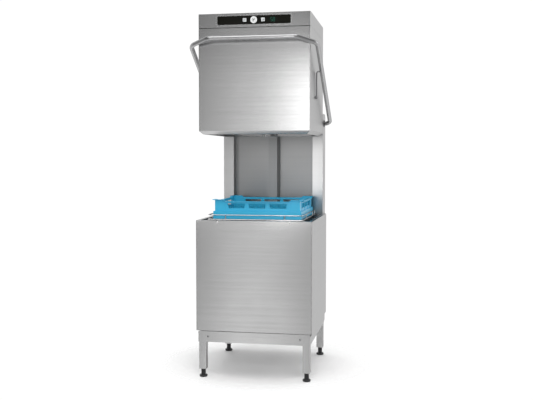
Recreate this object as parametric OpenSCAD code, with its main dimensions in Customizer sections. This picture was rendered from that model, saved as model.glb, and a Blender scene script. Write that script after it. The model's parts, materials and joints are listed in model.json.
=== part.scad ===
// Hood dishwasher for commercial kitchens, drawn with its hood open.
// Millimetres, +Z up, front towards -Y, origin at the centre of the footprint.

/* [Cabinet] */
// Width of the cabinet
cab_w = 642; // [636:1:646]
// Front face of the cabinet, ahead of the origin
cab_front = 336; // [330:1:340]
// Height of the tank rim
rim_z = 870; // [870:1:880]
// Bottom edge of the front panel
panel_z = 263; // [258:1:268]
// Bottom edge of the apron and the skirts
apron_z = 200; // [196:1:210]
// Sheet metal thickness
sheet = 1.5; // [1.2:0.1:1.6]

/* [Legs and feet] */
// Side of the square leg tube
leg_w = 40; // [36:1:42]
// Bottom of the leg tubes
leg_z = 47; // [45:1:60]
// Distance of the legs from the centre, left and right
leg_x = 288; // [284:1:290]
// Distance of the front legs ahead of the origin
leg_front = 306; // [300:1:308]
// Distance of the rear legs behind the origin
leg_rear = 312; // [306:1:313]
// Radius of the foot disc
foot_r = 22; // [20:1:24]

/* [Hood] */
// Width of the hood
hood_w = 612; // [606:2:614]
// Front face of the hood, ahead of the origin
hood_front = 319; // [317:1:320]
// Rear edge of the hood, behind the origin
hood_rear = 264; // [262:1:265]
// Top of the open hood
hood_top = 1986; // [1980:1:1990]
// Bottom of the open hood's walls
hood_z = 1357; // [1356:1:1358]
// Height of the control band
band_h = 75; // [72:1:78]

/* [Rear column] */
// Height of the column
col_top = 1475; // [1472:1:1480]
// Front face of the column, behind the origin
col_front = 268; // [268:0.5:269]
// Rear face of the column, behind the origin
col_rear = 396.5; // [394:0.5:400]
// Width of each column's front face
col_face = 62; // [60:1:64]

/* [Handle] */
// Radius of the handle tube
tube_r = 12.5; // [12:0.5:13]
// Half the distance between the handle's two arms
arm_x = 344; // [343:1:346]
// Pivot of the handle, behind the origin
pivot_y = 328; // [326:1:329]
// Pivot height of the handle
pivot_z = 1418; // [1416:1:1420]
// Upward tilt of the handle while the hood is open
tilt = 31.09; // [31:0.01:31.2]
// Reach of the handle from its pivot to the front bar
reach = 831.5; // [830:0.5:833]

/* [Dish rack] */
// Side of the square dish rack
rack_w = 500; // [490:2:500]
// Height of the dish rack
rack_h = 106; // [100:1:108]
// Sideways place of the rack on its rails
rack_x = 8; // [0:1:8]

/* [Hidden] */
half = cab_w / 2;
skirt_x = leg_x + leg_w / 2 + 0.2 + sheet; // outer face of the skirts
hood_x = hood_w / 2;
wash_y = -33; // line of the spray arms
hood_trim = 18; // how far the lip steps in and down
seam = 3; // joint between the control band and the hood wall
seam_end = 118; // where the joint ends on the hood's sides
seam_deep = 0.8;
corner = 4; // outer bend radius of the large sheets
tank_x = 301; // half width of the tank opening
tank_front = -314;
tank_rear = 260;
tank_corner = 5; // inner corner radius of the tank
tank_floor = 720;
sump_floor = 600;
sump_x = 170;
sump_y = 140;
basket_y = 90; // strainer basket, ahead of the arms' line
pan_z = 250; // top face of the base frame, under the base pan
base_rear = 332; // rear edge of the base pan and the skirts
panel_rear = 333; // where the side panels turn in at the rear
rim_rear = 336; // rear edge of the tank rim
service_y = 250; // line of the inlet, the drain and the cable gland
inlet_x = -180;
drain_x = -60;
gland_x = 190;
plug_x = 110; // the standpipe, from the middle of the sump
plug_y = 70;
inner_x = hood_x - col_face; // inner side of each column
wall_y = 342; // front face of the chamber's rear wall
post_x = 26;
post_splay = 8;
post_top = 1375;
riser_x = -7;
pump_x = riser_x + 60;
riser_y = 300;
riser_r = 16;
rinse_x = 18;
rinse_r = 6;
feed_z = 1403; // centre line of the upper feed pipes
feed_bend = 24;
level_z = 460; // wash line's level stretch below the sump
outlet_y = -10; // wash pump's outlet
suction_y = -100; // wash pump's suction pipe
outlet_z = 418;
arm_len = 245; // spray arm radius
spindle_r = 10;
run_gap = 0.05; // radial running clearance
low_arm_z = 766;
up_arm_z = 1346;
low_feed_z = 742;
rail_z = 872; // centre line of the rack rails
rail_r = 4;
wire_r = 2.5;
rail_x = 262;
rail_front = -292;
rail_rear = 228;
guide_z = 898;
rack_z = rail_z + rail_r;
rack_y = wash_y;
rack_inset = 13; // from the rim's edge to the outer face of the wall
side_bend = 34; // bend radius where an arm turns in to its pivot
bend = 46; // bend radius of the front corners
bar_x = 239; // half the length of the front bar
slant_s = reach - 60; // where each arm starts to slant inwards
in_angle = atan2(arm_x - bar_x, reach - slant_s);
out_angle = 90 - in_angle;
in_len = bend * tan(in_angle / 2);
out_len = bend * tan(out_angle / 2);
slant = norm([arm_x - bar_x, reach - slant_s]);
stud_s = 522; // where the link hangs on the handle arm
link_r = 4;
pin_r = 5; // shaft of each link in the hood's side
link_x = 315;
link_pin_z = 1544;
link_y = pivot_y - stud_s * cos(tilt);
link_top = pivot_z + stud_s * sin(tilt);
crank_len = 48;
crank_x = 288;
spring_y = pivot_y + crank_len * cos(28);
spring_z = pivot_z - crank_len * sin(28);
glass_w = 400;
glass_h = 46;
band_z = hood_top - band_h;
glass_z = band_z + band_h / 2;
glass_y = -hood_front - 0.8; // front of the control glass
start_r = 18.3;
key_w = 19.5;
key_x = 50;
display_x = 103;
ceiling_z = band_z - 6;
carriage_x = inner_x - 7;
carriage_low = hood_z + 18;
carriage_high = hood_z + 93;
carriage_y = 300; // line of the guide rollers
roller_r = 14;
cap_r = 25;

steel = [0.74, 0.74, 0.73];
bright = [0.84, 0.84, 0.84];
dark = [0.2, 0.2, 0.21];
blue = [0.12, 0.55, 0.8];

// ---- helpers -------------------------------------------------------------

module block(x0, x1, y0, y1, z0, z1) {
    translate([x0, y0, z0]) cube([x1 - x0, y1 - y0, z1 - z0]);
}

module rod_x(x0, x1, y, z, r) {
    translate([x0, y, z]) rotate([0, 90, 0]) cylinder(h = x1 - x0, r = r, $fn = 48);
}

module rod_y(x, y0, y1, z, r) {
    translate([x, y0, z]) rotate([-90, 0, 0]) cylinder(h = y1 - y0, r = r, $fn = 48);
}

module rod_z(x, y, z0, z1, r) {
    translate([x, y, z0]) cylinder(h = z1 - z0, r = r, $fn = 48);
}

module pipe_z(x, y, z0, z1, r, wall) {
    difference() {
        rod_z(x, y, z0, z1, r);
        rod_z(x, y, z0 - 1, z1 + 1, r - wall);
    }
}

module round_rect(x0, x1, y0, y1, r) {
    translate([x0 + r, y0]) square([x1 - x0 - 2 * r, y1 - y0]);
    translate([x0, y0 + r]) square([x1 - x0, y1 - y0 - 2 * r]);
    for (x = [x0 + r, x1 - r])
        for (y = [y0 + r, y1 - r])
            translate([x, y]) circle(r = r, $fn = 48);
}

module round_block(x0, x1, y0, y1, z0, z1, r) {
    translate([0, 0, z0]) linear_extrude(z1 - z0) round_rect(x0, x1, y0, y1, r);
}

// An arc of round rod in the XY plane, sunk a little into the rods that it joins.
module arc_rod(x, y, bend, from, to, r) {
    sink = 1.3;
    translate([x, y, 0]) rotate([0, 0, from - sink])
        rotate_extrude(angle = to - from + 2 * sink, $fn = 96)
            translate([bend, 0]) circle(r = r - run_gap, $fn = 48);
}

module both_sides() {
    children();
    mirror([1, 0, 0]) children();
}

// ---- legs, feet and base -------------------------------------------------

module leg(x, y) {
    translate([x, y, 0]) {
        difference() {
            block(-leg_w / 2, leg_w / 2, -leg_w / 2, leg_w / 2, leg_z, pan_z);
            block(-leg_w / 2 + 2, leg_w / 2 - 2, -leg_w / 2 + 2, leg_w / 2 - 2,
                leg_z + 30, pan_z + 1);
            rod_z(0, 0, leg_z - 1, leg_z + 31, 6 + run_gap);
        }
    }
}

module legs() {
    color(steel) {
        both_sides() {
            leg(leg_x, -leg_front);
            leg(leg_x, leg_rear);
        }
    }
}

// A ribbed post on a disc with rounded edges, and the plain stem that slides in the leg.
module foot(x, y) {
    disc_h = 13;
    edge = 5;
    post_r = 11.5;
    rib_r = 12.8;
    rib = 5;
    color(dark) translate([x, y, 0]) {
        rotate_extrude($fn = 96) intersection() {
            round_rect(-foot_r, foot_r, 0, disc_h, edge);
            square([foot_r, disc_h]);
        }
        translate([0, 0, disc_h]) cylinder(h = leg_z - disc_h, r = post_r, $fn = 48);
        for (z = [disc_h + 4 : rib : leg_z - 4])
            translate([0, 0, z]) cylinder(h = rib - 2, r = rib_r, $fn = 48);
        translate([0, 0, leg_z]) cylinder(h = 60, r = 6, $fn = 48);
    }
}

module foot_front_left() { foot(-leg_x, -leg_front); }
module foot_front_right() { foot(leg_x, -leg_front); }
module foot_rear_left() { foot(-leg_x, leg_rear); }
module foot_rear_right() { foot(leg_x, leg_rear); }

module base_frame() {
    inner = leg_w / 2;
    color(steel) {
        block(-leg_x + inner, leg_x - inner, -leg_front - 12, -leg_front + 12, pan_z - 30, pan_z);
        block(-leg_x + inner, leg_x - inner, leg_rear - 12, leg_rear + 12, pan_z - 30, pan_z);
        both_sides() {
            block(leg_x - 12, leg_x + 12, -leg_front + inner, leg_rear - inner, pan_z - 30, pan_z);
            block(90, 110, -leg_front + 12, leg_rear - 12, pan_z - 20, pan_z);
        }
    }
}

module base_pan() {
    color(steel) difference() {
        union() {
            block(-half + 8, half - 8, -cab_front + 5, base_rear, pan_z, pan_z + 2);
            rod_z(gland_x, service_y, pan_z + 2, pan_z + 22, 14);
        }
        rod_z(inlet_x, service_y, pan_z - 1, pan_z + 3, 20);
        rod_z(drain_x, service_y, pan_z - 1, pan_z + 3, 20);
        rod_z(gland_x, service_y, pan_z - 1, pan_z + 23, 8);
    }
}

module front_apron() {
    side = skirt_x;
    y = -cab_front + 3;
    top = panel_z - 3;
    color(steel) {
        block(-side, side, y, y + sheet, apron_z, top);
        block(-side + 2, side - 2, y + sheet, y + 7, apron_z, apron_z + sheet);
    }
}

module side_skirts() {
    color(steel) both_sides() {
        block(skirt_x - sheet, skirt_x, -cab_front + 5, base_rear, apron_z, pan_z);
    }
}

// ---- cabinet -------------------------------------------------------------

module front_panel() {
    y = -cab_front;
    top = rim_z - sheet;
    color(steel) {
        intersection() {
            translate([0, 0, panel_z]) linear_extrude(top - panel_z) difference() {
                round_rect(-half, half, y, y + 60, corner);
                round_rect(-half + sheet, half - sheet, y + sheet, y + 60 - sheet, corner - sheet);
            }
            block(-half, half, y, y + 14, panel_z, top);
        }
        block(-half + sheet, half - sheet, y + sheet, y + 12, panel_z + 4, panel_z + 4 + sheet);
    }
}

module side_panel() {
    front = -cab_front + 14.5;
    color(steel) {
        block(half - sheet, half, front, panel_rear + sheet, panel_z, rim_z - sheet);
        block(hood_x + 0.5, half - sheet, panel_rear, panel_rear + sheet, panel_z, rim_z - sheet);
        block(half - 9, half - sheet, front, panel_rear, panel_z, panel_z + sheet);
    }
}

module side_panel_right() { side_panel(); }
module side_panel_left() { mirror([1, 0, 0]) side_panel(); }

module tank_rim() {
    color(bright) difference() {
        union() {
            round_block(-half, half, -cab_front, rim_rear, rim_z - sheet, rim_z, corner);
            block(-inner_x, inner_x, rim_rear - 6, wall_y, rim_z - sheet, rim_z);
        }
        round_block(-tank_x, tank_x, tank_front, tank_rear, rim_z - 5, rim_z + 1, tank_corner);
        rod_z(riser_x, riser_y, rim_z - 5, rim_z + 1, riser_r + 1);
        rod_z(rinse_x, riser_y, rim_z - 5, rim_z + 1, rinse_r + 1);
    }
}

module tank() {
    t = sheet;
    color(bright) difference() {
        union() {
            round_block(-tank_x - t, tank_x + t, tank_front - t, tank_rear + t,
                tank_floor - t, rim_z - t, tank_corner + t);
            round_block(-sump_x - t, sump_x + t, wash_y - sump_y - t, wash_y + sump_y + t,
                sump_floor - t, tank_floor, 20 + t);
        }
        round_block(-tank_x, tank_x, tank_front, tank_rear, tank_floor, rim_z, tank_corner);
        round_block(-sump_x, sump_x, wash_y - sump_y, wash_y + sump_y,
            sump_floor, tank_floor + 1, 20);
        rod_y(riser_x, tank_rear - 5, tank_rear + 5, low_feed_z, riser_r);
        rod_z(plug_x, wash_y + plug_y, sump_floor - 5, sump_floor + 1, 16);
        rod_z(pump_x, suction_y, sump_floor - 5, sump_floor + 1, 18.5);
    }
}

module strainer_plates() {
    reach_x = sump_x + 16;
    reach_y = sump_y + 16;
    color(bright) translate([0, wash_y, tank_floor]) both_sides() difference() {
        block(0.5, reach_x, -reach_y, reach_y, 0, 2);
        rod_z(0, -basket_y, -1, 3, 46);
        rod_z(plug_x, plug_y, -1, 3, 24);
        for (y = [-40 : 12 : 140])
            for (x = [14, 66, 118])
                if (!(x > 60 && y > 34 && y < 106))
                    block(x, x + 40, y, y + 4, -1, 3);
    }
}

module strainer_basket() {
    color(bright) translate([0, wash_y - basket_y, 0]) {
        difference() {
            rod_z(0, 0, sump_floor + 20, tank_floor + 2, 45);
            rod_z(0, 0, sump_floor + 21.5, tank_floor + 3, 43.5);
            for (z = [sump_floor + 30 : 12 : tank_floor - 14])
                for (a = [0 : 45 : 135])
                    rotate([0, 0, a]) block(-50, 50, -12, 12, z, z + 5);
        }
        difference() {
            rod_z(0, 0, tank_floor + 2, tank_floor + 4, 50);
            rod_z(0, 0, tank_floor + 1, tank_floor + 5, 43.5);
        }
        block(-44, 44, -2, 2, tank_floor + 4, tank_floor + 7);
    }
}

module standpipe() {
    color(dark) translate([plug_x, wash_y + plug_y, 0]) {
        rod_z(0, 0, sump_floor - 3, sump_floor + 6, 15.9);
        pipe_z(0, 0, sump_floor + 6, 750, 17, 2);
        rod_z(0, 0, 750, 757, 20);
    }
}

// ---- water circuit -------------------------------------------------------

module lower_feed_pipe() {
    color(steel) {
        difference() {
            rod_y(riser_x, wash_y, riser_y - riser_r, low_feed_z, 14);
            rod_y(riser_x, wash_y + 20, riser_y - riser_r + 1, low_feed_z, 12.5);
        }
        rod_z(0, wash_y, low_feed_z - 18, low_feed_z + 18, 24);
        rod_z(0, wash_y, low_feed_z + 18, low_arm_z - 2, 16);
        rod_z(0, wash_y, low_arm_z - 2, low_arm_z + 50, spindle_r);
        rod_z(0, wash_y, low_arm_z + 45, low_arm_z + 54, 17);
    }
}

// A flat spray arm with rounded ends; nozzle slots face the dishes.
module wash_arm(z, up) {
    h = 16;
    hub_z = z - 1.5;
    color(bright) translate([0, wash_y, 0]) difference() {
        union() {
            round_block(-arm_len, arm_len, -19, 19, z, z + h, 18.9);
            rod_z(0, 0, hub_z, hub_z + 19, 30);
        }
        rod_z(0, 0, hub_z - 1, hub_z + 21, spindle_r + run_gap);
        for (s = [-1, 1])
            for (i = [0 : 4])
                translate([s * (60 + 38 * i), s * (i % 2 == 0 ? 5 : -5), up ? z + h - 4 : z - 1])
                    rotate([0, 0, 35]) cube([16, 3, 5]);
    }
}

module rinse_arm(z, len) {
    color(bright) translate([0, wash_y, 0]) rotate([0, 0, 62]) difference() {
        union() {
            rod_x(-len, len, 0, z, 6);
            rod_z(0, 0, z - 8, z + 8, 19);
            for (s = [-1, 1])
                for (i = [0 : 3])
                    rod_z(s * (70 + 45 * i), 0, z, z + 8, 3.5);
        }
        rod_z(0, 0, z - 9, z + 9, spindle_r + run_gap);
    }
}

module lower_wash_arm() { wash_arm(low_arm_z, true); }
module lower_rinse_arm() { rinse_arm(low_arm_z + 30, 232); }
module upper_wash_arm() { wash_arm(up_arm_z, false); }
module upper_rinse_arm() { rinse_arm(up_arm_z + 30, 232); }

// From the pump's outlet back and up inside the post, to just below the feed line.
module wash_line(r, end) {
    low = level_z - feed_bend;
    rod_z(riser_x, outlet_y, outlet_z - end, low, r);
    arc_rod_yz(riser_x, outlet_y + feed_bend, low, 90, 180, r);
    rod_y(riser_x, outlet_y + feed_bend, riser_y - feed_bend, level_z, r);
    arc_rod_yz(riser_x, riser_y - feed_bend, level_z + feed_bend, -90, 0, r);
    rod_z(riser_x, riser_y, level_z + feed_bend, feed_z - feed_bend - 6 + end, r);
}

module wash_riser() {
    sleeve = feed_z - feed_bend - 10;
    color(steel) difference() {
        union() {
            wash_line(riser_r, 0);
            rod_z(riser_x, riser_y, sleeve - 22, sleeve, riser_r + 2);
        }
        wash_line(riser_r - sheet, 1);
    }
}

module rinse_riser() {
    color(steel) pipe_z(rinse_x, riser_y, 480, feed_z - feed_bend - 6, rinse_r, 1);
}

module riser_post() {
    t = sheet;
    color(steel) translate([0, 0, rim_z]) linear_extrude(post_top - rim_z) difference() {
        polygon([[-post_x, col_front], [post_x, col_front],
            [post_x + post_splay, wall_y], [-post_x - post_splay, wall_y]]);
        polygon([[-post_x + t, col_front + t], [post_x - t, col_front + t],
            [post_x + post_splay - t, wall_y + 1], [-post_x - post_splay + t, wall_y + 1]]);
    }
}

// A bent line in the plane X = x: an arc between a vertical and a level stretch.
module arc_rod_yz(x, y, z, from, to, r) {
    translate([x, 0, 0]) rotate([90, 0, 90]) arc_rod(y, z, feed_bend, from, to, r);
}

// One feed line: up from a riser, then forward to the manifold.
module feed_line(x, r, end) {
    rod_z(x, riser_y, feed_z - feed_bend - 6 - end, feed_z - feed_bend, r);
    arc_rod_yz(x, riser_y - feed_bend, feed_z - feed_bend, 0, 90, r);
    rod_y(x, wash_y + 20, riser_y - feed_bend, feed_z, r);
}

module upper_feed_manifold() {
    color(steel) {
        difference() {
            feed_line(riser_x, riser_r, 0);
            feed_line(riser_x, riser_r - sheet, 1);
        }
        difference() {
            feed_line(rinse_x, rinse_r, 0);
            feed_line(rinse_x, rinse_r - 1, 1);
        }
        rod_z(0, wash_y, feed_z - 16, feed_z + 16, 28);
        rod_z(0, wash_y, up_arm_z - 12, feed_z - 16, spindle_r);
        rod_z(0, wash_y, up_arm_z - 15, up_arm_z - 4, 17);
    }
}

// ---- rear column ---------------------------------------------------------

module back_wall() {
    color(steel) block(-inner_x, inner_x, wall_y, wall_y + sheet, rim_z - sheet, col_top - sheet);
}

module column() {
    t = sheet;
    top = col_top - t;
    rear = col_rear - t;
    color(steel) difference() {
        union() {
            block(inner_x, hood_x, col_front, col_front + t, rim_z, top);
            block(hood_x - t, hood_x, col_front, rear, rim_z, top);
            block(inner_x, inner_x + t, col_front, wall_y + t, rim_z, top);
            block(inner_x + t, inner_x + 14, wall_y, wall_y + t, rim_z, top);
        }
        difference() {
            block(hood_x - 5, hood_x + 5, rear - cap_r + t, rear + 5, top - cap_r + t, top + 5);
            rod_x(hood_x - 6, hood_x + 6, rear - cap_r + t, top - cap_r + t, cap_r - t);
        }
        rod_x(hood_x - 5, hood_x + 5, pivot_y, pivot_z, tube_r + 4);
        block(inner_x - 5, inner_x + 5, carriage_y - 5, carriage_y + 5, rim_z + 15, top - 8);
    }
}

module column_right() { column(); }
module column_left() { mirror([1, 0, 0]) column(); }

module column_cap() {
    t = sheet;
    color(steel) {
        block(-hood_x, hood_x, col_front, col_rear - cap_r, col_top - t, col_top);
        translate([hood_x, col_rear - cap_r, col_top - cap_r]) rotate([0, -90, 0])
            rotate_extrude_quarter(cap_r, t, 2 * hood_x);
    }
}

// A quarter of a rolled sheet edge, running along +Z.
module rotate_extrude_quarter(r, t, len) {
    linear_extrude(len) intersection() {
        difference() {
            circle(r = r, $fn = 96);
            circle(r = r - t, $fn = 96);
        }
        square([r, r]);
    }
}

module rear_cover() {
    t = sheet;
    louvre_w = 110;
    color(steel) difference() {
        union() {
            block(-hood_x, hood_x, col_rear - t, col_rear, apron_z, col_top - cap_r);
            both_sides() block(hood_x - t, hood_x, panel_rear, col_rear - t, apron_z, rim_z - t);
        }
        for (z = [330 : 22 : 484])
            for (x = [-190, 190])
                block(x - louvre_w / 2, x + louvre_w / 2, col_rear - 5, col_rear + 5, z, z + 6);
    }
}

// ---- hood ----------------------------------------------------------------

module hood_ring(z0, z1, r) {
    t = sheet;
    translate([0, 0, z0]) linear_extrude(z1 - z0) difference() {
        round_rect(-hood_x, hood_x, -hood_front, hood_rear, r);
        round_rect(-hood_x + t, hood_x - t, -hood_front + t, hood_rear - t, r - t);
    }
}

module hood_shell() {
    t = sheet;
    front = -hood_front;
    color(steel) difference() {
        union() {
            hood_ring(hood_z, hood_top, corner);
            round_block(-hood_x, hood_x, front, hood_rear, hood_top - t, hood_top, corner);
        }
        block(-hood_x - 1, hood_x + 1, front - 5, front + 10, band_z - seam, hood_top + 1);
        block(-inner_x, inner_x, hood_rear - 5, hood_rear + 5, hood_z - 1, ceiling_z);
        rod_x(-hood_x - 1, hood_x + 1, link_y, link_pin_z, pin_r + run_gap);
        both_sides() block(hood_x - seam_deep, hood_x + 1, front, seam_end, band_z - seam, band_z);
    }
}

// A ring with sloping sides under the hood's walls.
module lip_body(inset, z0, z1) {
    low = hood_trim + inset;
    intersection() {
        translate([0, 400, 0]) rotate([90, 0, 0]) linear_extrude(800)
            polygon([[-hood_x + inset, z1], [-hood_x + low, z0],
                [hood_x - low, z0], [hood_x - inset, z1]]);
        translate([-400, 0, 0]) rotate([90, 0, 90]) linear_extrude(800)
            polygon([[-hood_front + inset, z1], [-hood_front + low, z0],
                [hood_rear - low, z0], [hood_rear - inset, z1]]);
    }
}

module hood_lip() {
    color(steel) difference() {
        lip_body(0, hood_z - hood_trim, hood_z);
        lip_body(2, hood_z - hood_trim, hood_z);
        block(-hood_x + hood_trim + 2, hood_x - hood_trim - 2,
            -hood_front + hood_trim + 2, hood_rear - hood_trim - 2, hood_z - 30, hood_z + 1);
    }
}

module hood_ceiling() {
    t = sheet;
    color(steel) difference() {
        round_block(-hood_x + t, hood_x - t, -hood_front + t, hood_rear - t,
            ceiling_z, ceiling_z + t, corner - t);
        block(-50, 50, hood_rear - 30, hood_rear - 10, ceiling_z - 1, ceiling_z + 3);
    }
}

module band_openings(gap) {
    translate([0, 0, glass_z]) {
        rotate([90, 0, 0]) translate([0, 0, -500]) cylinder(h = 1000, r = start_r + gap, $fn = 96);
        both_sides() block(key_x - key_w / 2 - gap, key_x + key_w / 2 + gap, -500, 500,
            -key_w / 2 - gap, key_w / 2 + gap);
        block(display_x - 24 - gap, display_x + 24 + gap, -500, 500, -9 - gap, 9 + gap);
    }
}

module control_band() {
    t = sheet;
    front = -hood_front;
    color(steel) difference() {
        intersection() {
            union() {
                hood_ring(band_z, hood_top, corner);
                round_block(-hood_x, hood_x, front, hood_rear, hood_top - t, hood_top, corner);
            }
            block(-hood_x, hood_x, front, front + 9.5, band_z, hood_top);
        }
        band_openings(1.5);
        block(-glass_w / 2 - 0.2, glass_w / 2 + 0.2, front - 1, front + 1,
            glass_z - glass_h / 2 - 0.2, glass_z + glass_h / 2 + 0.2);
    }
}

module control_glass() {
    color([0.02, 0.02, 0.02]) difference() {
        translate([0, -hood_front + 1, 0]) rotate([90, 0, 0]) linear_extrude(1.8)
            round_rect(-glass_w / 2, glass_w / 2, glass_z - glass_h / 2, glass_z + glass_h / 2, 5);
        band_openings(0.4);
    }
}

module display_window() {
    y = -hood_front;
    color([0.1, 0.25, 0.15]) {
        block(display_x - 24, display_x + 24, y - 0.4, y + 1.5, glass_z - 9, glass_z + 9);
    }
}

module start_button() {
    y = glass_y;
    color("white") {
        rod_y(0, y - 2.6, y + 6, glass_z, start_r);
        rod_y(0, y + 6, y + 10, glass_z, 6);
    }
}

module program_key(x) {
    y = glass_y;
    w = key_w / 2;
    color([0.75, 0.75, 0.77]) {
        translate([x, y + 6, glass_z]) rotate([90, 0, 0]) linear_extrude(8)
            round_rect(-w, w, -w, w, 3);
        rod_y(x, y + 6, y + 10, glass_z, 4);
    }
}

module program_button_left() { program_key(-key_x); }
module program_button_right() { program_key(key_x); }

module control_board() {
    y = glass_y + 14;
    color([0.1, 0.35, 0.2]) {
        block(-190, 190, y, y + 1.6, glass_z - 26, glass_z + 26);
        for (x = [-key_x, 0, key_x])
            block(x - 7, x + 7, y - 1.9, y, glass_z - 7, glass_z + 7);
        block(-170, -110, y + 1.6, y + 16, glass_z - 18, glass_z + 18);
        block(display_x - 22, display_x + 22, y - 8, y, glass_z - 8, glass_z + 8);
    }
}

module hood_carriages() {
    t = 3;
    front = hood_rear - sheet;
    color(steel) both_sides() difference() {
        union() {
            block(carriage_x, carriage_x + t, front - 12, carriage_y + 20,
                carriage_low - 12, carriage_high + 12);
            block(carriage_x + t, hood_x - 12, front - 12, front,
                carriage_low - 12, carriage_high + 12);
        }
        for (z = [carriage_low, carriage_high])
            rod_x(carriage_x - 5, carriage_x + 10, carriage_y, z, 4);
        block(carriage_x + 2 * t, hood_x + 5, front - 13, front - 3, 0, 3000);
    }
}

module guide_rollers() {
    color(dark) both_sides() {
        for (z = [carriage_low, carriage_high]) {
            rod_x(carriage_x - 3, inner_x + 5, carriage_y, z, 4);
            rod_x(inner_x + 5, inner_x + 15, carriage_y, z, roller_r);
        }
    }
}

// ---- handle, springs and links -------------------------------------------

// The handle in its own plane: pivot axis along X, reach along +Y.
module bail_core(r, end_x) {
    bar_end = bar_x - out_len;
    rod_x(-bar_end, bar_end, reach, 0, r);
    both_sides() {
        rod_x(end_x, arm_x - side_bend, 0, 0, r);
        arc_rod(arm_x - side_bend, side_bend, side_bend, -90, 0, r);
        rod_y(arm_x, side_bend, slant_s - in_len, 0, r);
        arc_rod(arm_x - bend, slant_s - in_len, bend, 0, in_angle, r);
        translate([arm_x, slant_s, 0]) rotate([0, 0, 90 + in_angle])
            rod_x(in_len, slant - out_len, 0, 0, r);
        arc_rod(bar_end, reach - bend, bend, in_angle, 90, r);
    }
}

module in_handle_plane() {
    translate([0, pivot_y, pivot_z]) rotate([180 - tilt, 0, 0]) children();
}

module handle_bail() {
    color(bright) {
        in_handle_plane() difference() {
            bail_core(tube_r, 280);
            bail_core(tube_r - 2, 279);
        }
        both_sides() rod_x(link_x + 16.6, arm_x - tube_r + 3, link_y, link_top, 7);
    }
}

module handle_cranks() {
    w = 8;
    color(steel) both_sides() {
        difference() {
            union() {
                rod_x(crank_x - w / 2, crank_x + w / 2, pivot_y, pivot_z, 22);
                translate([crank_x - w / 2, pivot_y, pivot_z]) rotate([-28, 0, 0])
                    block(0.5, w - 0.5, 4, crank_len, -9, 9);
                rod_x(crank_x - w / 2, crank_x + w / 2, spring_y, spring_z, 11);
            }
            rod_x(crank_x - w, crank_x + w, pivot_y, pivot_z, tube_r);
        }
        rod_x(crank_x - 22, crank_x - 1, spring_y, spring_z, 4);
    }
}

module pivot_bushes() {
    color(dark) both_sides() difference() {
        union() {
            rod_x(hood_x - 9, hood_x, pivot_y, pivot_z, tube_r + 4);
            rod_x(hood_x, hood_x + 3, pivot_y, pivot_z, tube_r + 8);
        }
        rod_x(hood_x - 10, hood_x + 5, pivot_y, pivot_z, tube_r + run_gap);
    }
}

module counter_springs() {
    wire = 3.5;
    coil_r = 13;
    pitch = 2 * wire;
    low = 905;
    x = crank_x - 15;
    turns = floor((spring_z - 32 - low) / pitch);
    top = low + turns * pitch;
    coils = [for (i = [0 : turns - 1])
        for (p = [[coil_r + 1, 0], [coil_r + wire, 0.3], [coil_r + wire, 0.7]])
            [p[0], low + (i + p[1]) * pitch]];
    color(dark) both_sides() {
        translate([x, spring_y, 0]) rotate_extrude($fn = 64)
            polygon(concat([[coil_r - 2, low]], coils, [[coil_r + 1, top], [coil_r - 2, top]]));
        difference() {
            union() {
                rod_z(x, spring_y, top, top + 2, coil_r);
                rod_z(x, spring_y, top + 2, spring_z + 9, 5.5);
            }
            rod_x(x - 10, x + 10, spring_y, spring_z, 4.2);
        }
        rod_z(x, spring_y, low - 2, low, coil_r);
        rod_z(x, spring_y, rim_z, low - 2, 6);
    }
}

// A bent rod: it pivots in the hood's side and reaches up to the handle's stud.
module lift_link() {
    bend = 12;
    r = link_r;
    out = link_x + 16 - bend;
    color(steel) {
        rod_x(hood_x + 0.6, link_x - r, link_y, link_pin_z, 9);
        rod_x(hood_x - 14, hood_x + 0.6, link_y, link_pin_z, pin_r);
        difference() {
            rod_x(link_x - r, link_x + r, link_y, link_pin_z, 9);
            rod_x(link_x, link_x + 5, link_y, link_pin_z, 3);
        }
        rod_z(link_x, link_y, link_pin_z, link_top - bend, r);
        translate([link_x, link_y, link_top - bend]) rotate([90, 0, 0]) rotate([0, 0, 90])
            mirror([0, 1, 0]) elbow_solid(bend, 90, r);
        rod_x(link_x + bend, out + bend, link_y, link_top, r);
    }
}

module elbow_solid(r_bend, angle, r) {
    translate([0, r_bend, 0]) rotate([0, 0, -90]) rotate_extrude(angle = angle, $fn = 96)
        translate([r_bend, 0]) circle(r = r, $fn = 48);
}

module lift_link_right() { lift_link(); }
module lift_link_left() { mirror([1, 0, 0]) lift_link(); }

module link_bushes() {
    color(dark) both_sides() difference() {
        rod_x(hood_x - sheet - 10, hood_x - sheet, link_y, link_pin_z, 12);
        rod_x(hood_x - 20, hood_x + 5, link_y, link_pin_z, pin_r + run_gap);
    }
}

// ---- rack and its rails --------------------------------------------------

module rack_track() {
    color(bright) {
        rod_x(-rail_x, rail_x, rail_front, rail_z, rail_r);
        rod_x(-rail_x, rail_x, rail_rear, rail_z, rail_r);
        both_sides() {
            rod_y(rail_x, rail_front, rail_rear, rail_z, rail_r);
            rod_y(200, rail_front, rail_rear, rail_z, rail_r);
            for (y = [-220, 160]) {
                rod_z(rail_x, y, 850, rail_z, rail_r);
                rod_x(rail_x, tank_x, y, 850, rail_r);
            }
            rod_z(164, rail_front, rail_z, guide_z, wire_r);
            rod_y(rail_x + 2, rail_front + 20, rail_rear - 30, guide_z, wire_r);
            for (y = [-160, 100, rail_rear - 30])
                rod_z(rail_x + 2, y, rail_z, guide_z, wire_r);
            translate([rail_x - 18, rail_front, guide_z]) elbow_solid(20, 90, wire_r);
        }
        rod_x(-rail_x + 18, rail_x - 18, rail_front, guide_z, wire_r);
    }
}

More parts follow.
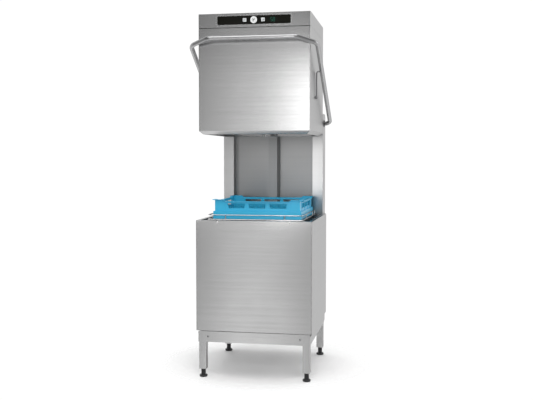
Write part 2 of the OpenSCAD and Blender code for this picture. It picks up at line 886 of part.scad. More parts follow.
// One wall of the rack, seen from outside: X along the wall, Z up, outer face at Y = 0.
module rack_wall() {
    w = rack_w / 2 - rack_inset;
    t = 3;
    flare = rack_inset - 1;
    proud = 8; // how far the skirt stands out from the wall
    corner_w = 48;
    slope_w = 60;
    raised = rack_h;
    low = rack_h - 9;
    ledge = 42;
    win_w = 100;
    win_low = 58;
    win_top = 85;
    pitch = 116;
    difference() {
        rotate([90, 0, 0]) translate([0, 0, -t]) linear_extrude(t)
            polygon([[-w, ledge - t], [w, ledge - t], [w, raised], [w - corner_w, raised],
                [w - slope_w, low], [-w + slope_w, low], [-w + corner_w, raised], [-w, raised]]);
        for (i = [-1 : 1])
            translate([i * pitch, 5, 0]) rotate([90, 0, 0]) linear_extrude(20)
                polygon([[-win_w / 2, win_top], [win_w / 2, win_top],
                    [win_w / 2 - 6, win_low], [-win_w / 2 + 6, win_low]]);
    }
    // flared rim
    for (s = [-1, 1])
        block(s > 0 ? w - corner_w : -w - flare, s > 0 ? w + flare : -w + corner_w,
            -flare, 0, raised - t, raised);
    block(-w + slope_w, w - slope_w, -flare, 0, low - t, low);
    for (s = [-1, 1])
        rotate([90, 0, 0]) linear_extrude(flare)
            polygon([[s * (w - corner_w), raised], [s * (w - slope_w), low],
                [s * (w - slope_w), low - t], [s * (w - corner_w), raised - t]]);
    // ledge and lower skirt, which stands proud of the wall
    block(-w - proud, w + proud, -proud, t, ledge - t, ledge);
    block(-w - proud, w + proud, -proud, t - proud, 0, ledge - t);
    for (i = [-1.5, -0.5, 0.5, 1.5])
        block(i * pitch - 3, i * pitch + 3, -2, 0, ledge, low - t);
}

module dish_rack() {
    edge = rack_w / 2 - rack_inset;
    pitch = 48;
    floor_z = 5;
    color(blue) translate([rack_x, rack_y, rack_z]) {
        for (a = [0 : 90 : 270])
            rotate([0, 0, a]) translate([0, -edge, 0]) rack_wall();
        for (sx = [-1, 1])
            for (sy = [-1, 1])
                rod_z(sx * edge, sy * edge, 0, 40, 7);
        for (i = [-4 : 4]) {
            block(i * pitch - 2, i * pitch + 2, -edge - 6, edge + 6, floor_z, floor_z + 7);
            block(-edge - 6, edge + 6, i * pitch - 2, i * pitch + 2, floor_z, floor_z + 7);
        }
        for (i = [-4 : 4])
            for (j = [-4 : 4])
                translate([i * pitch, j * pitch, floor_z])
                    cylinder(h = 52, r1 = 4.5, r2 = 2.5, $fn = 24);
    }
}

// ---- machinery in the base -----------------------------------------------

module wash_pump() {
    x = pump_x;
    z = 340;
    color(dark) {
        block(x - 60, x + 60, 20, 160, pan_z + 2, pan_z + 8);
        for (y = [40, 120])
            block(x - 45, x + 45, y, y + 12, pan_z + 8, z - 50);
        rod_y(x, 10, 165, z, 62);
        rod_y(x, 165, 185, z, 40);
        rod_y(x, -30, 10, z, 78);
        rod_y(x, suction_y, -30, z, 20);
        translate([x, suction_y, z]) sphere(r = 20, $fn = 48);
        rod_z(x, suction_y, z, sump_floor - sheet, 20);
        rod_z(riser_x, outlet_y, z, outlet_z, 18);
    }
}

module drain_pump() {
    color(dark) {
        rod_x(-120, -60, 200, 320, 32);
        rod_x(-60, -35, 200, 320, 40);
        rod_z(-48, 200, 355, 372, 12);
        block(-110, -50, 180, 220, pan_z + 2, 290);
        rod_z(drain_x, service_y, 215, 262, 14);
        block(-74, -46, 236, 264, 262, 282);
    }
}

module rinse_boiler() {
    x = -170;
    y = -120;
    low = 290;
    high = 560;
    shell_r = 85;
    ports = [330, 520];
    color(bright) {
        difference() {
            union() {
                rod_z(x, y, low, high, shell_r);
                for (z = ports)
                    rod_x(x + shell_r - 5, x + 110, y, z, 9);
            }
            rod_z(x, y, low + sheet, high - sheet, shell_r - sheet);
            for (z = ports)
                rod_x(x + shell_r - 10, x + 111, y, z, 7);
        }
        for (a = [45 : 90 : 315])
            translate([x + 70 * cos(a), y + 70 * sin(a), pan_z + 2])
                cylinder(h = low - pan_z - 2, r = 8, $fn = 32);
        rod_z(x, y, high, high + 12, 40);
        for (dx = [-18, 0, 18])
            rod_z(x + dx, y, high + 12, high + 30, 5);
    }
}

module tank_heater() {
    z = sump_floor + 35;
    y = wash_y + 40;
    color(dark) {
        for (dy = [0, 40]) {
            rod_x(-sump_x + 8, 60, y + dy, z, 5);
        }
        translate([60, y + 20, z]) rotate([0, 0, -90]) rotate_extrude(angle = 180, $fn = 96)
            translate([20, 0]) circle(r = 5, $fn = 48);
        rod_x(-sump_x, -sump_x + 8, y + 20, z, 34);
    }
}

module dosing_pumps() {
    color("white") for (x = [-210, -130]) {
        block(x - 30, x + 30, -cab_front + 16, -cab_front + 60, 620, 690);
        rod_y(x, -cab_front + 8, -cab_front + 16, 655, 26);
        for (dx = [-10, 10])
            rod_z(x + dx, -cab_front + 34, 600, 620, 4);
    }
}

module inlet_valve() {
    color(dark) {
        rod_z(inlet_x, service_y, 215, 262, 13.2);
        block(-205, -155, 228, 272, 262, 300);
        rod_z(inlet_x - 10, service_y, 300, 335, 13);
        rod_z(inlet_x + 14, service_y, 300, 320, 8);
    }
}

module electrical_box() {
    y = -cab_front + 20;
    color([0.55, 0.56, 0.57]) {
        difference() {
            block(60, 290, y, y + 100, 420, 590);
            block(60 + sheet, 290 - sheet, y + sheet, y + 100 - sheet, 420 + sheet, 590 - sheet);
            for (x = [100, 140, 180])
                rod_z(x, y + 60, 419, 425, 10);
        }
        block(66, 284, y - 3, y, 426, 584);
    }
}

module panel_screws() {
    head = 3;
    screw_x = leg_x - leg_w / 2 - 12.5;
    color(bright) {
        for (x = [-screw_x, screw_x])
            rod_y(x, -cab_front + 3 - head, -cab_front + 3, 232, 6);
        for (x = [-200, 200])
            rod_y(x, -cab_front - head, -cab_front, rim_z - 9, 5);
    }
}

legs();
foot_front_left();
foot_front_right();
foot_rear_left();
foot_rear_right();
base_frame();
base_pan();
front_apron();
side_skirts();
front_panel();
side_panel_left();
side_panel_right();
tank_rim();
tank();
strainer_plates();
strainer_basket();
standpipe();
lower_feed_pipe();
lower_wash_arm();
lower_rinse_arm();
wash_riser();
rinse_riser();
riser_post();
upper_feed_manifold();
upper_wash_arm();
upper_rinse_arm();
back_wall();
column_left();
column_right();
column_cap();
rear_cover();
hood_shell();
hood_lip();
hood_ceiling();
control_band();
control_glass();
display_window();
start_button();
program_button_left();
program_button_right();
control_board();
hood_carriages();
guide_rollers();
handle_bail();
handle_cranks();
pivot_bushes();
counter_springs();
lift_link_left();
lift_link_right();
link_bushes();
rack_track();
dish_rack();
wash_pump();
drain_pump();
rinse_boiler();
tank_heater();
dosing_pumps();
inlet_valve();
electrical_box();
panel_screws();
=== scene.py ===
import json
import math

import bmesh
import bpy
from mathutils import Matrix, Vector


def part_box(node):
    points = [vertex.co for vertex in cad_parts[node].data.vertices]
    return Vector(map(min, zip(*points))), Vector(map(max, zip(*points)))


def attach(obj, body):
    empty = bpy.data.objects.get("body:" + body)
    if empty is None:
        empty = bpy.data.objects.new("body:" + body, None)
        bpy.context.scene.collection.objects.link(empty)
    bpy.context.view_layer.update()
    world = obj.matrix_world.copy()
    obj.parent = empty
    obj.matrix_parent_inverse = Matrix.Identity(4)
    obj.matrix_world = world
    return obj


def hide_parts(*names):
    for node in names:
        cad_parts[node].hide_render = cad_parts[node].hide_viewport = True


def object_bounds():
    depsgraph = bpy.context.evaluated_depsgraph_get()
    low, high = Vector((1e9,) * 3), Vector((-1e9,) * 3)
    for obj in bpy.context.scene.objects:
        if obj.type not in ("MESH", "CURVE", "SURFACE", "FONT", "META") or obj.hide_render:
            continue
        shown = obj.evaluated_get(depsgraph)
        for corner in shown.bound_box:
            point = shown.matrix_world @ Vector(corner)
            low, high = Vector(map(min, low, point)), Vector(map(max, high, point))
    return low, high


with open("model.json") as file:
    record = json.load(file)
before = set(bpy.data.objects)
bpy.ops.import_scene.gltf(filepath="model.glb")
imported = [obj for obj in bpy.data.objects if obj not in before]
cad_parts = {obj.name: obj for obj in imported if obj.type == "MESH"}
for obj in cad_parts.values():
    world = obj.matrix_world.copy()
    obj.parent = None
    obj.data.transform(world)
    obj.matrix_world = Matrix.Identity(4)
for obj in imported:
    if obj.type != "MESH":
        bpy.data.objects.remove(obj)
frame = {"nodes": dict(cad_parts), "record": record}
NODES = frame["nodes"]
CAD_BOX = [list(c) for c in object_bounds()]


# ---- node helpers ---------------------------------------------------------


def new_material(name):
    m = bpy.data.materials.new(name)
    m.use_nodes = True
    nt = m.node_tree
    nt.nodes.clear()
    out = nt.nodes.new("ShaderNodeOutputMaterial")
    bsdf = nt.nodes.new("ShaderNodeBsdfPrincipled")
    nt.links.new(bsdf.outputs[0], out.inputs[0])
    return m, nt, bsdf


def coords(nt, scale=(1, 1, 1)):
    """Object coordinates, stretched by scale."""
    tc = nt.nodes.new("ShaderNodeTexCoord")
    mp = nt.nodes.new("ShaderNodeMapping")
    mp.inputs["Scale"].default_value = scale
    nt.links.new(tc.outputs["Object"], mp.inputs["Vector"])
    return mp.outputs[0]


def noise(nt, vector, scale, detail=2.0, rough=0.5):
    n = nt.nodes.new("ShaderNodeTexNoise")
    n.inputs["Scale"].default_value = scale
    n.inputs["Detail"].default_value = detail
    n.inputs["Roughness"].default_value = rough
    nt.links.new(vector, n.inputs["Vector"])
    return n.outputs["Fac"]


def spread(nt, value, low, high, from_low=0.3, from_high=0.7):
    """Maps value from one range to another, clamped. The default range is about where noise lies."""
    r = nt.nodes.new("ShaderNodeMapRange")
    r.inputs["From Min"].default_value = from_low
    r.inputs["From Max"].default_value = from_high
    r.inputs["To Min"].default_value = low
    r.inputs["To Max"].default_value = high
    nt.links.new(value, r.inputs["Value"])
    return r.outputs[0]


def two_tone(nt, value, a, b):
    """Blends colour a into colour b as value goes from 0 to 1."""
    mix = nt.nodes.new("ShaderNodeMix")
    mix.data_type = "RGBA"
    nt.links.new(value, mix.inputs[0])
    mix.inputs[6].default_value = (*a, 1)
    mix.inputs[7].default_value = (*b, 1)
    return mix.outputs[2]


def maths(nt, kind, a, b):
    n = nt.nodes.new("ShaderNodeMath")
    n.operation = kind
    for i, v in enumerate((a, b)):
        if isinstance(v, (int, float)):
            n.inputs[i].default_value = v
        else:
            nt.links.new(v, n.inputs[i])
    return n.outputs[0]


def bump(nt, bsdf, height, strength, distance):
    b = nt.nodes.new("ShaderNodeBump")
    b.inputs["Strength"].default_value = strength
    b.inputs["Distance"].default_value = distance
    nt.links.new(height, b.inputs["Height"])
    nt.links.new(b.outputs[0], bsdf.inputs["Normal"])


STREAK = 0.12  # how much coarser the streaks are than the grain
STREAK_TONE = 0.965  # tone of the darkest streak, as a share of the metal's
GRAIN_DEPTH = 0.0004
BRUSHED_TINT = (0.6, 0.6, 0.6, 1)


def brushed(name, tone, roughness, grain, strength, metal=1.0, side=0.0):
    """Metal with a fine directional grain. grain is how often it repeats along X, Y and Z, strength is how
    deep it looks, and side is how much rougher a face is that looks along X."""
    m, nt, bsdf = new_material(name)
    fine = noise(nt, coords(nt, grain), scale=18, detail=3, rough=0.6)
    streak = noise(nt, coords(nt, tuple(STREAK * g for g in grain)), scale=14)
    cloud = noise(nt, coords(nt), scale=5)
    shade = maths(nt, "MULTIPLY", spread(nt, streak, 0, 1), spread(nt, cloud, 0.6, 1))
    dark = tuple(c * STREAK_TONE for c in tone)
    nt.links.new(two_tone(nt, shade, tone, dark), bsdf.inputs["Base Color"])
    bsdf.inputs["Metallic"].default_value = metal
    bsdf.inputs["Specular Tint"].default_value = BRUSHED_TINT
    grit = maths(nt, "ADD", spread(nt, fine, -0.015, 0.015), spread(nt, streak, -0.005, 0.005))
    smudge = spread(nt, cloud, roughness - 0.01, roughness + 0.01)
    facing = nt.nodes.new("ShaderNodeSeparateXYZ")
    nt.links.new(nt.nodes.new("ShaderNodeNewGeometry").outputs["True Normal"], facing.inputs[0])
    flank = maths(nt, "MULTIPLY", maths(nt, "ABSOLUTE", facing.outputs["X"], 0), side)
    nt.links.new(maths(nt, "ADD", maths(nt, "ADD", grit, smudge), flank), bsdf.inputs["Roughness"])
    bump(nt, bsdf, fine, strength, GRAIN_DEPTH)
    return m


SPECKLE_DEPTH = 0.0002


def plastic(name, tone, roughness, speckle=900, strength=0.15, shade=0.8, gloss=0.5):
    """Moulded plastic, paint or glass. speckle is how fine its skin is, and shade is its darkest tone, as a
    share of tone."""
    m, nt, bsdf = new_material(name)
    v = coords(nt)
    cloud = noise(nt, v, scale=14, detail=3)
    fine = noise(nt, v, scale=speckle)
    dark = tuple(c * shade for c in tone)
    nt.links.new(two_tone(nt, spread(nt, cloud, 0, 1), tone, dark), bsdf.inputs["Base Color"])
    nt.links.new(spread(nt, fine, roughness - 0.05, roughness + 0.08), bsdf.inputs["Roughness"])
    bsdf.inputs["Specular IOR Level"].default_value = gloss
    bump(nt, bsdf, fine, strength, SPECKLE_DEPTH)
    return m


UNLIT = (0.004, 0.01, 0.008, 1)


def glowing(name, tone, strength):
    """The lit segments of the display, a little uneven like a real lamp behind a dark pane."""
    m, nt, bsdf = new_material(name)
    cloud = noise(nt, coords(nt), scale=160)
    dim = tuple(c * 0.7 for c in tone)
    nt.links.new(two_tone(nt, spread(nt, cloud, 0, 1), tone, dim), bsdf.inputs["Emission Color"])
    bsdf.inputs["Emission Strength"].default_value = strength
    bsdf.inputs["Base Color"].default_value = UNLIT
    bsdf.inputs["Roughness"].default_value = 0.3
    return m


SHEET_GRAIN = (0.8, 0.8, 60)
EVEN_GRAIN = (8, 8, 8)
GLASS = {"speckle": 300, "strength": 0.0, "shade": 0.7, "gloss": 0.25}
MATERIALS = {
    "brushed_steel": brushed("SheetSteel", (0.62, 0.62, 0.62), 0.2, SHEET_GRAIN, 0.015, side=0.18),
    # the back wall: the sheet steel made rougher, with a darker tone that is painted shade inside the wash
    # chamber
    "wall_steel_with_painted_shade": brushed("WallSteelWithPaintedShade", (0.45, 0.45, 0.45), 0.4, SHEET_GRAIN, 0.015),
    "post_steel": brushed("PostSteel", (0.4, 0.4, 0.4), 0.4, SHEET_GRAIN, 0.015, metal=0.5),
    "column_steel": brushed("ColumnSteel", (0.6, 0.6, 0.6), 0.3, SHEET_GRAIN, 0.01),
    "pressed_steel": brushed("PressedSteel", (0.6, 0.6, 0.6), 0.26, EVEN_GRAIN, 0.03),
    "polished_tube": brushed("BrightWire", (0.7, 0.7, 0.7), 0.16, EVEN_GRAIN, 0.02),
    "handle_tube": brushed("HandleTube", (0.46, 0.46, 0.465), 0.24, (3, 40, 40), 0.03),
    "zinc": brushed("ZincPlate", (0.88, 0.87, 0.87), 0.3, EVEN_GRAIN, 0.02, metal=0.45),
    "spring_steel": brushed("SpringSteel", (0.4, 0.4, 0.41), 0.32, (20, 20, 20), 0.05),
    "foot_plastic": plastic("FootPlastic", (0.03, 0.03, 0.032), 0.5),
    "dark_plastic": plastic("DarkPlastic", (0.03, 0.03, 0.033), 0.45),
    "black_glass": plastic("BlackGlass", (0.005, 0.005, 0.003), 0.12, **GLASS),
    "display": plastic("DisplayPane", (0.005, 0.008, 0.006), 0.12, **GLASS),
    "button_white": plastic("ButtonWhite", (0.76, 0.77, 0.77), 0.35, speckle=1200, strength=0.05, shade=0.95),
    "button_grey": plastic("ButtonGrey", (0.6, 0.62, 0.63), 0.38, speckle=1200, strength=0.05, shade=0.92),
    "circuit_board": plastic("CircuitBoard", (0.01, 0.09, 0.03), 0.3, speckle=400, strength=0.2),
    "rack_plastic": plastic("RackPlastic", (0.03, 0.44, 0.7), 0.34, speckle=700, strength=0.1, shade=0.92),
    "machine_paint": plastic("MachinePaint", (0.12, 0.13, 0.14), 0.4, speckle=500, strength=0.3, shade=0.85),
    "print_grey": plastic("PrintGrey", (0.06, 0.065, 0.06), 0.5, strength=0.05),
    "lit_segment": glowing("LitSegment", (0.01, 0.2, 0.13), 0.6),
}

SLOT_OF = {}  # the material slot of each node


def find_slots(value):
    """Every {"node": ..., "material_slot": ...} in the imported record."""
    if isinstance(value, dict):
        if "node" in value and "material_slot" in value:
            SLOT_OF[value["node"]] = value["material_slot"]
        for v in value.values():
            find_slots(v)
    elif isinstance(value, list):
        for v in value:
            find_slots(v)


find_slots(frame["record"])


def paint(o, material):
    """Gives the whole object one material."""
    if not o.material_slots:
        o.data.materials.append(material)
    for s in o.material_slots:
        s.material = material


for n, o in NODES.items():
    paint(o, MATERIALS[SLOT_OF[n]])
# nodes that share a slot in the record but have a finish of their own; the back wall's darker tone is painted
# shade of the wash chamber
FINER = {"back_wall": "wall_steel_with_painted_shade", "riser_post": "post_steel", "column_left": "column_steel",
         "column_right": "column_steel", "column_cap": "column_steel", "handle_bail": "handle_tube"}
for n, finish in FINER.items():
    paint(NODES[n], MATERIALS[finish])


# ---- softened edges -------------------------------------------------------


CORNER = math.radians(50)  # edges bent more than this stay sharp corners


def soft_shading():
    """A node group that shades faces smooth and keeps only the real corners sharp."""
    g = bpy.data.node_groups.new("SoftShading", "GeometryNodeTree")
    g.interface.new_socket("Geometry", in_out="INPUT", socket_type="NodeSocketGeometry")
    g.interface.new_socket("Geometry", in_out="OUTPUT", socket_type="NodeSocketGeometry")
    start = g.nodes.new("NodeGroupInput")
    end = g.nodes.new("NodeGroupOutput")
    angle = g.nodes.new("GeometryNodeInputMeshEdgeAngle")
    steep = g.nodes.new("FunctionNodeCompare")
    steep.data_type = "FLOAT"
    steep.operation = "GREATER_THAN"
    steep.inputs[1].default_value = CORNER
    g.links.new(angle.outputs["Unsigned Angle"], steep.inputs[0])
    faces = g.nodes.new("GeometryNodeSetShadeSmooth")
    edges = g.nodes.new("GeometryNodeSetShadeSmooth")
    edges.domain = "EDGE"
    edges.inputs["Shade Smooth"].default_value = False
    g.links.new(start.outputs[0], faces.inputs["Geometry"])
    g.links.new(faces.outputs[0], edges.inputs["Geometry"])
    g.links.new(steep.outputs[0], edges.inputs["Selection"])
    g.links.new(edges.outputs[0], end.inputs[0])
    return g


SOFT = soft_shading()


SAME_POINT = 1e-5  # points closer than this are welded


def soften(o, width):
    """Rounds the sharp edges of a part a little, as a press brake or a mould leaves them."""
    weld = o.modifiers.new("weld", "WELD")
    weld.merge_threshold = SAME_POINT
    if width:
        bevel = o.modifiers.new("bevel", "BEVEL")
        bevel.width = width
        bevel.segments = 2
        bevel.limit_method = "ANGLE"
        bevel.angle_limit = CORNER
    smooth = o.modifiers.new("soft", "NODES")
    smooth.node_group = SOFT
    even = o.modifiers.new("even", "WEIGHTED_NORMAL")
    even.keep_sharp = True


# width of the rounding on each part's edges
EDGES = {
    0.0004: ("front_panel", "front_apron", "side_skirts", "side_panel_left", "side_panel_right", "tank_rim",
             "column_left", "column_right", "rear_cover", "hood_shell", "control_band", "riser_post"),
    0.0008: ("legs", "hood_lip", "program_button_left", "program_button_right", "start_button",
             "foot_front_left", "foot_front_right", "foot_rear_left", "foot_rear_right"),
}
for width, names in EDGES.items():
    for n in names:
        soften(NODES[n], width)


# ---- pieces ---------------------------------------------------------------


def mesh_object(name, verts, faces, material):
    me = bpy.data.meshes.new(name)
    me.from_pydata(verts, [], faces)
    me.update()
    o = bpy.data.objects.new(name, me)
    bpy.context.scene.collection.objects.link(o)
    me.materials.append(material)
    return o


def circle(x, z, r, steps):
    """Points round a centre in the XZ plane, as seen from the front."""
    turns = [2 * math.pi * i / steps for i in range(steps)]
    return [(x + r * math.cos(t), z + r * math.sin(t)) for t in turns]


def plate(outline, front, back, hole=None):
    """Vertices and faces of a flat piece that faces the front, with an optional hole of as many points."""
    n = len(outline)
    if not hole:
        verts = [(x, y, z) for y in (front, back) for x, z in outline]
        faces = [tuple(range(n)), tuple(reversed(range(n, 2 * n)))]
        faces += [(i, i + n, (i + 1) % n + n, (i + 1) % n) for i in range(n)]
        return verts, faces
    verts = [(x, y, z) for y in (front, back) for loop in (outline, hole) for x, z in loop]
    faces = []
    for i in range(n):
        j = (i + 1) % n
        faces += [(i, j, j + n, i + n), (i + 2 * n, i + 3 * n, j + 3 * n, j + 2 * n),
                  (i, i + 2 * n, j + 2 * n, j), (i + n, j + n, j + 3 * n, i + 3 * n)]
    return verts, faces


def gather(name, parts, material, body):
    """Joins several (vertices, faces) pairs into one piece that rides on a body."""
    verts, faces = [], []
    for v, f in parts:
        base = len(verts)
        verts += v
        faces += [tuple(base + i for i in face) for face in f]
    o = mesh_object(name, verts, faces, MATERIALS[material])
    bm = bmesh.new()
    bm.from_mesh(o.data)
    bmesh.ops.recalc_face_normals(bm, faces=bm.faces)
    bm.to_mesh(o.data)
    bm.free()
    soften(o, 0)
    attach(o, body)
    return o


def middle(node):
    """The centre of a part's box."""
    low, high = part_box(node)
    return [(a + b) / 2 for a, b in zip(low, high)]


PRINT = 0.00025  # how proud the print stands, and how deep it sits


def start_symbol():
    """A broken ring round a play arrow, in thin raised print on the start button."""
    x, _, z = middle("start_button")
    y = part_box("start_button")[0][1]
    r = 0.0092
    inner_r = 0.78 * r
    arc = 1.15
    arrow_r = 0.0055
    parts = []
    for start in (0.35, 2.05, 3.75):
        sweep = [start + arc * i / 10 for i in range(11)]
        outer = [(x + r * math.cos(t), z + r * math.sin(t)) for t in sweep]
        inner = [(x + inner_r * math.cos(t), z + inner_r * math.sin(t)) for t in reversed(sweep)]
        parts.append(plate(outer + inner, y - PRINT, y + PRINT))
    arrow = circle(x, z, arrow_r, 3)
    parts.append(plate(arrow, y - PRINT, y + PRINT))
    gather("start_symbol", parts, "print_grey", "start_key")


def bar(x, z, w, h, y):
    """A small printed bar, centred at x and z."""
    corners = [(x + i * w / 2, z + j * h / 2) for i, j in ((-1, -1), (1, -1), (1, 1), (-1, 1))]
    return plate(corners, y - PRINT, y + PRINT)


def key_symbols():
    """A bar over a dotted line on the left key, three steps on the right one."""
    dot_w, line_h, line_w = 0.0018, 0.0013, 0.010
    pitch = 0.0036
    x, _, z = middle("program_button_left")
    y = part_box("program_button_left")[0][1]
    parts = [bar(x, z + 0.0025, line_w, line_h, y)]
    parts += [bar(x + i * pitch, z - 0.0022, dot_w, line_h, y) for i in (-1, 0, 1)]
    gather("left_key_symbol", parts, "print_grey", "left_key")
    x, _, z = middle("program_button_right")
    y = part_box("program_button_right")[0][1]
    pitch = 0.0034
    shortest, rise = 0.003, 0.0024
    parts = []
    for i in range(3):
        parts.append(bar(x + (i - 1) * pitch, z - shortest + i * rise / 2, dot_w, shortest + i * rise, y))
    gather("right_key_symbol", parts, "print_grey", "right_key")


# which of a digit's seven segments are lit, clockwise from the top one, and the middle one last
LIT = {"5": (1, 0, 1, 1, 0, 1, 1), "8": (1, 1, 1, 1, 1, 1, 1)}


def display_digits(shown="58"):
    """A two-digit water temperature in slim lit segments, just proud of the glass."""
    x, _, z = middle("display_window")
    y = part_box("control_glass")[0][1]
    w, h, t = 0.0085, 0.020, 0.0016
    pitch = 1.55 * w
    upright = h / 2.6
    parts = []
    for i, digit in enumerate(shown):
        cx = x + (i - 0.5) * pitch
        left, right = cx - w / 2, cx + w / 2
        upper, lower = z + h / 4, z - h / 4
        places = [
            (cx, z + h / 2, w, t),
            (right, upper, t, upright),
            (right, lower, t, upright),
            (cx, z - h / 2, w, t),
            (left, lower, t, upright),
            (left, upper, t, upright),
            (cx, z, w, t),
        ]
        parts += [bar(a, b, c, d, y) for lit, (a, b, c, d) in zip(LIT[digit], places) if lit]
    gather("display_digits", parts, "lit_segment", "hood")


def rounded(x0, x1, z0, z1, r, steps=6):
    """The outline of a rectangle with round corners, anticlockwise from its lower right corner."""
    left, right, bottom, top = x0 + r, x1 - r, z0 + r, z1 - r
    points = []
    for cx, cz, start in ((right, bottom, -90), (right, top, 0), (left, top, 90), (left, bottom, 180)):
        for i in range(steps + 1):
            t = math.radians(start + 90 * i / steps)
            points.append((cx + r * math.cos(t), cz + r * math.sin(t)))
    return points


def glass_frame():
    """A thin satin frame round the control glass."""
    low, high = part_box("control_glass")
    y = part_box("control_band")[0][1]
    rim = 0.009
    gap = 0.0003
    proud, sunk = 0.0005, 0.0003
    hole = rounded(low[0] - gap, high[0] + gap, low[2] - gap, high[2] + gap, 0.005)
    outline = rounded(low[0] - rim, high[0] + rim, low[2] - rim, high[2] + rim, 0.008)
    parts = [plate(outline, y - proud, y + sunk, hole)]
    gather("glass_frame", parts, "pressed_steel", "hood")


def screw_head(place, out, r=0.0055, h=0.0026):
    """A domed head with a six-sided socket. out is +1 or -1, the way it faces along Y."""
    x, y, z = place
    steps = 30
    turns = [2 * math.pi * i / steps for i in range(steps)]
    dome = [(1.0, 0.0), (1.0, 0.25), (0.93, 0.55), (0.75, 0.83), (0.5, 0.97)]  # shares of r and h
    rings = [
        [(x + r * k * math.cos(t), y + out * h * d, z + r * k * math.sin(t)) for t in turns] for k, d in dome
    ]
    socket_r = 0.42 * r
    socket_floor = 0.35 * h
    hexagon = []
    for t in turns:
        off_flat = t % (math.pi / 3) - math.pi / 6
        k = socket_r * math.cos(math.pi / 6) / math.cos(off_flat)
        hexagon.append((k * math.cos(t), k * math.sin(t)))
    rings.append([(x + a, y + out * h, z + b) for a, b in hexagon])
    rings.append([(x + a, y + out * socket_floor, z + b) for a, b in hexagon])
    verts = [v for ring in rings for v in ring]
    faces = [tuple(range(steps)), tuple(range(len(verts) - steps, len(verts)))]
    for k in range(len(rings) - 1):
        for i in range(steps):
            j = (i + 1) % steps
            faces.append((k * steps + i, k * steps + j, (k + 1) * steps + j, (k + 1) * steps + i))
    return verts, faces


def screws():
    """Screw heads on the apron, the front panel's top edge and the rear cover."""
    sides = (-1, 1)
    panel_low, panel_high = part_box("front_panel")
    panel_x, panel_z, panel_r = 0.2, panel_high[2] - 0.0075, 0.0048
    heads = [screw_head((side * panel_x, panel_low[1], panel_z), -1, panel_r) for side in sides]
    piece = gather("panel_screw_heads", heads, "zinc", "cabinet")
    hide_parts("panel_screws")
    _, apron_y, apron_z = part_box("front_apron")[0]
    apron_x, apron_rise = 0.2555, 0.032
    heads = [screw_head((side * apron_x, apron_y, apron_z + apron_rise), -1) for side in sides]
    # the apron's heads take the darker spring steel, a tone that is painted shade round them
    gather("apron_screw_heads", heads, "spring_steel", "cabinet")
    low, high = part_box("rear_cover")
    edge_x, edge_z = 0.02, 0.03
    rows = [low[2] + edge_z + i * (high[2] - low[2] - 2 * edge_z) / 3 for i in range(4)]
    heads = [screw_head((side * (high[0] - edge_x), high[1], z), 1) for z in rows for side in sides]
    gather("rear_screw_heads", heads, "polished_tube", "cabinet")


start_symbol()
key_symbols()
display_digits()
glass_frame()
screws()


# ---- studio ---------------------------------------------------------------

bpy.context.scene.view_settings.view_transform = "Standard"
WHITE = 1.03  # strength of the backdrop


def build_world():
    """A white backdrop. What the steel reflects is white behind the machine and a dimmer room in front of it,
    with a soft glow in the middle."""
    w = bpy.data.worlds.new("Studio")
    bpy.context.scene.world = w
    w.use_nodes = True
    nt = w.node_tree
    nt.nodes.clear()
    out = nt.nodes.new("ShaderNodeOutputWorld")
    bg = nt.nodes.new("ShaderNodeBackground")
    tc = nt.nodes.new("ShaderNodeTexCoord")
    sep = nt.nodes.new("ShaderNodeSeparateXYZ")
    nt.links.new(tc.outputs["Generated"], sep.inputs[0])
    x, y, z = sep.outputs["X"], sep.outputs["Y"], sep.outputs["Z"]
    glow_x = -0.2
    off = maths(nt, "ABSOLUTE", maths(nt, "SUBTRACT", x, glow_x), 0)
    glow = spread(nt, off, low=1.25, high=0.0, from_low=0.0, from_high=0.065)
    walls = spread(nt, x, low=0.18, high=0.33, from_low=-0.3, from_high=-0.1)
    upper = spread(nt, z, low=1.0, high=0.22, from_low=0.12, from_high=0.165)
    lower = spread(nt, z, low=1.3, high=1.0, from_low=-0.195, from_high=-0.15)
    room = maths(nt, "MULTIPLY", maths(nt, "MULTIPLY", maths(nt, "ADD", walls, glow), upper), lower)
    back = spread(nt, y, low=0.0, high=1.0, from_low=-0.6, from_high=0.3)
    front = maths(nt, "MULTIPLY", room, maths(nt, "SUBTRACT", 1.0, back))
    total = maths(nt, "ADD", front, maths(nt, "MULTIPLY", back, WHITE))
    seen = nt.nodes.new("ShaderNodeLightPath").outputs["Is Camera Ray"]
    strength = nt.nodes.new("ShaderNodeMix")
    nt.links.new(seen, strength.inputs["Factor"])
    nt.links.new(total, strength.inputs["A"])
    strength.inputs["B"].default_value = WHITE
    nt.links.new(strength.outputs["Result"], bg.inputs["Strength"])
    bg.inputs["Color"].default_value = (1, 1, 1, 1)
    nt.links.new(bg.outputs[0], out.inputs[0])


build_world()


def area(name, place, target, size, radiance, gloss=True, diffuse=True):
    """A softbox. radiance is how bright its face looks. gloss and diffuse say which surfaces it lights."""
    light = bpy.data.lights.new(name, "AREA")
    light.shape = "RECTANGLE"
    light.size, light.size_y = size
    light.energy = radiance * math.pi * size[0] * size[1]
    o = bpy.data.objects.new(name, light)
    bpy.context.scene.collection.objects.link(o)
    o.location = place
    o.rotation_euler = (Vector(target) - Vector(place)).to_track_quat("-Z", "Y").to_euler()
    o.visible_glossy = gloss
    o.visible_diffuse = diffuse
    o.visible_camera = False


# the bright patch that the hood's front reflects
area("softbox", (-0.09, -4.75, 1.7), (-0.09, 0, 1.7), size=(0.86, 1.1), radiance=2.1)
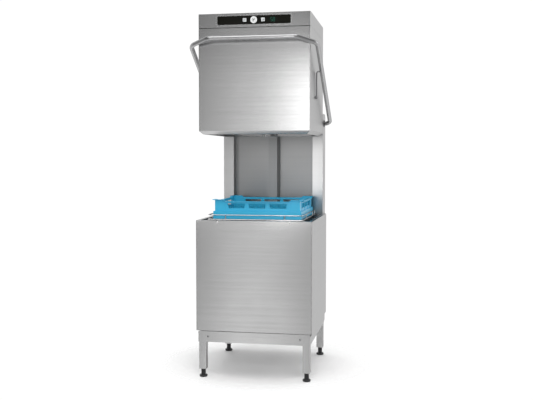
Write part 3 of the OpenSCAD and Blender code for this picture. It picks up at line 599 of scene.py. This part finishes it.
# soft light from above, the right and the front
area("top_back", (0.2, 0.9, 4.2), (0, 0.2, 0), size=(3.6, 2.6), radiance=1.0, gloss=False)
area("top_front", (0.0, -2.4, 4.0), (0, -0.3, 0), size=(3.4, 2.4), radiance=2.2)
area("right", (4.2, -0.4, 2.2), (0, 0, 1.0), size=(2.0, 2.6), radiance=0.8)
area("front_fill", (1.2, -4.2, 2.0), (0, 0, 0.8), size=(3.0, 1.8), radiance=5.4, gloss=False)
# small cards that the wash chamber's rear wall reflects
area("wall_card", (-0.03, -1.6, 1.03), (-0.03, 0, 1.03), size=(0.22, 0.36), radiance=4.2, diffuse=False)
area("left_card", (-0.68, -1.6, 1.03), (-0.68, 0, 1.03), size=(0.16, 0.36), radiance=1.6, diffuse=False)


def build_floor():
    """A pale floor that fades into the white background."""
    centre = (0, 0.1, 0)
    fade_start, fade_end = 0.38, 0.68
    m, nt, bsdf = new_material("FloorPaint")
    cloud = noise(nt, coords(nt), scale=1.5)
    tones = two_tone(nt, spread(nt, cloud, 0, 1), (0.96, 0.96, 0.96), (0.94, 0.94, 0.94))
    nt.links.new(tones, bsdf.inputs["Base Color"])
    bsdf.inputs["Roughness"].default_value = 0.7
    far = nt.nodes.new("ShaderNodeVectorMath")
    far.operation = "DISTANCE"
    nt.links.new(coords(nt), far.inputs[0])
    far.inputs[1].default_value = centre
    nt.links.new(spread(nt, far.outputs["Value"], 1.0, 0.0, fade_start, fade_end), bsdf.inputs["Alpha"])
    half = 2
    z = CAD_BOX[0][2]
    corners = [(-half, -half, z), (half, -half, z), (half, half, z), (-half, half, z)]
    floor = mesh_object("studio_floor", corners, [(0, 1, 2, 3)], m)


build_floor()


def build_camera():
    """The photograph's viewpoint, a little to the right at about waist height."""
    pitch, yaw = math.radians(86.96), math.radians(10.47)
    cam = bpy.data.cameras.new("camera")
    cam.sensor_width = 36
    cam.lens = 55.34
    o = bpy.data.objects.new("camera", cam)
    bpy.context.scene.collection.objects.link(o)
    o.location = (0.8712, -4.659, 1.2183)
    o.rotation_euler = (pitch, 0, yaw)
    bpy.context.scene.camera = o


build_camera()
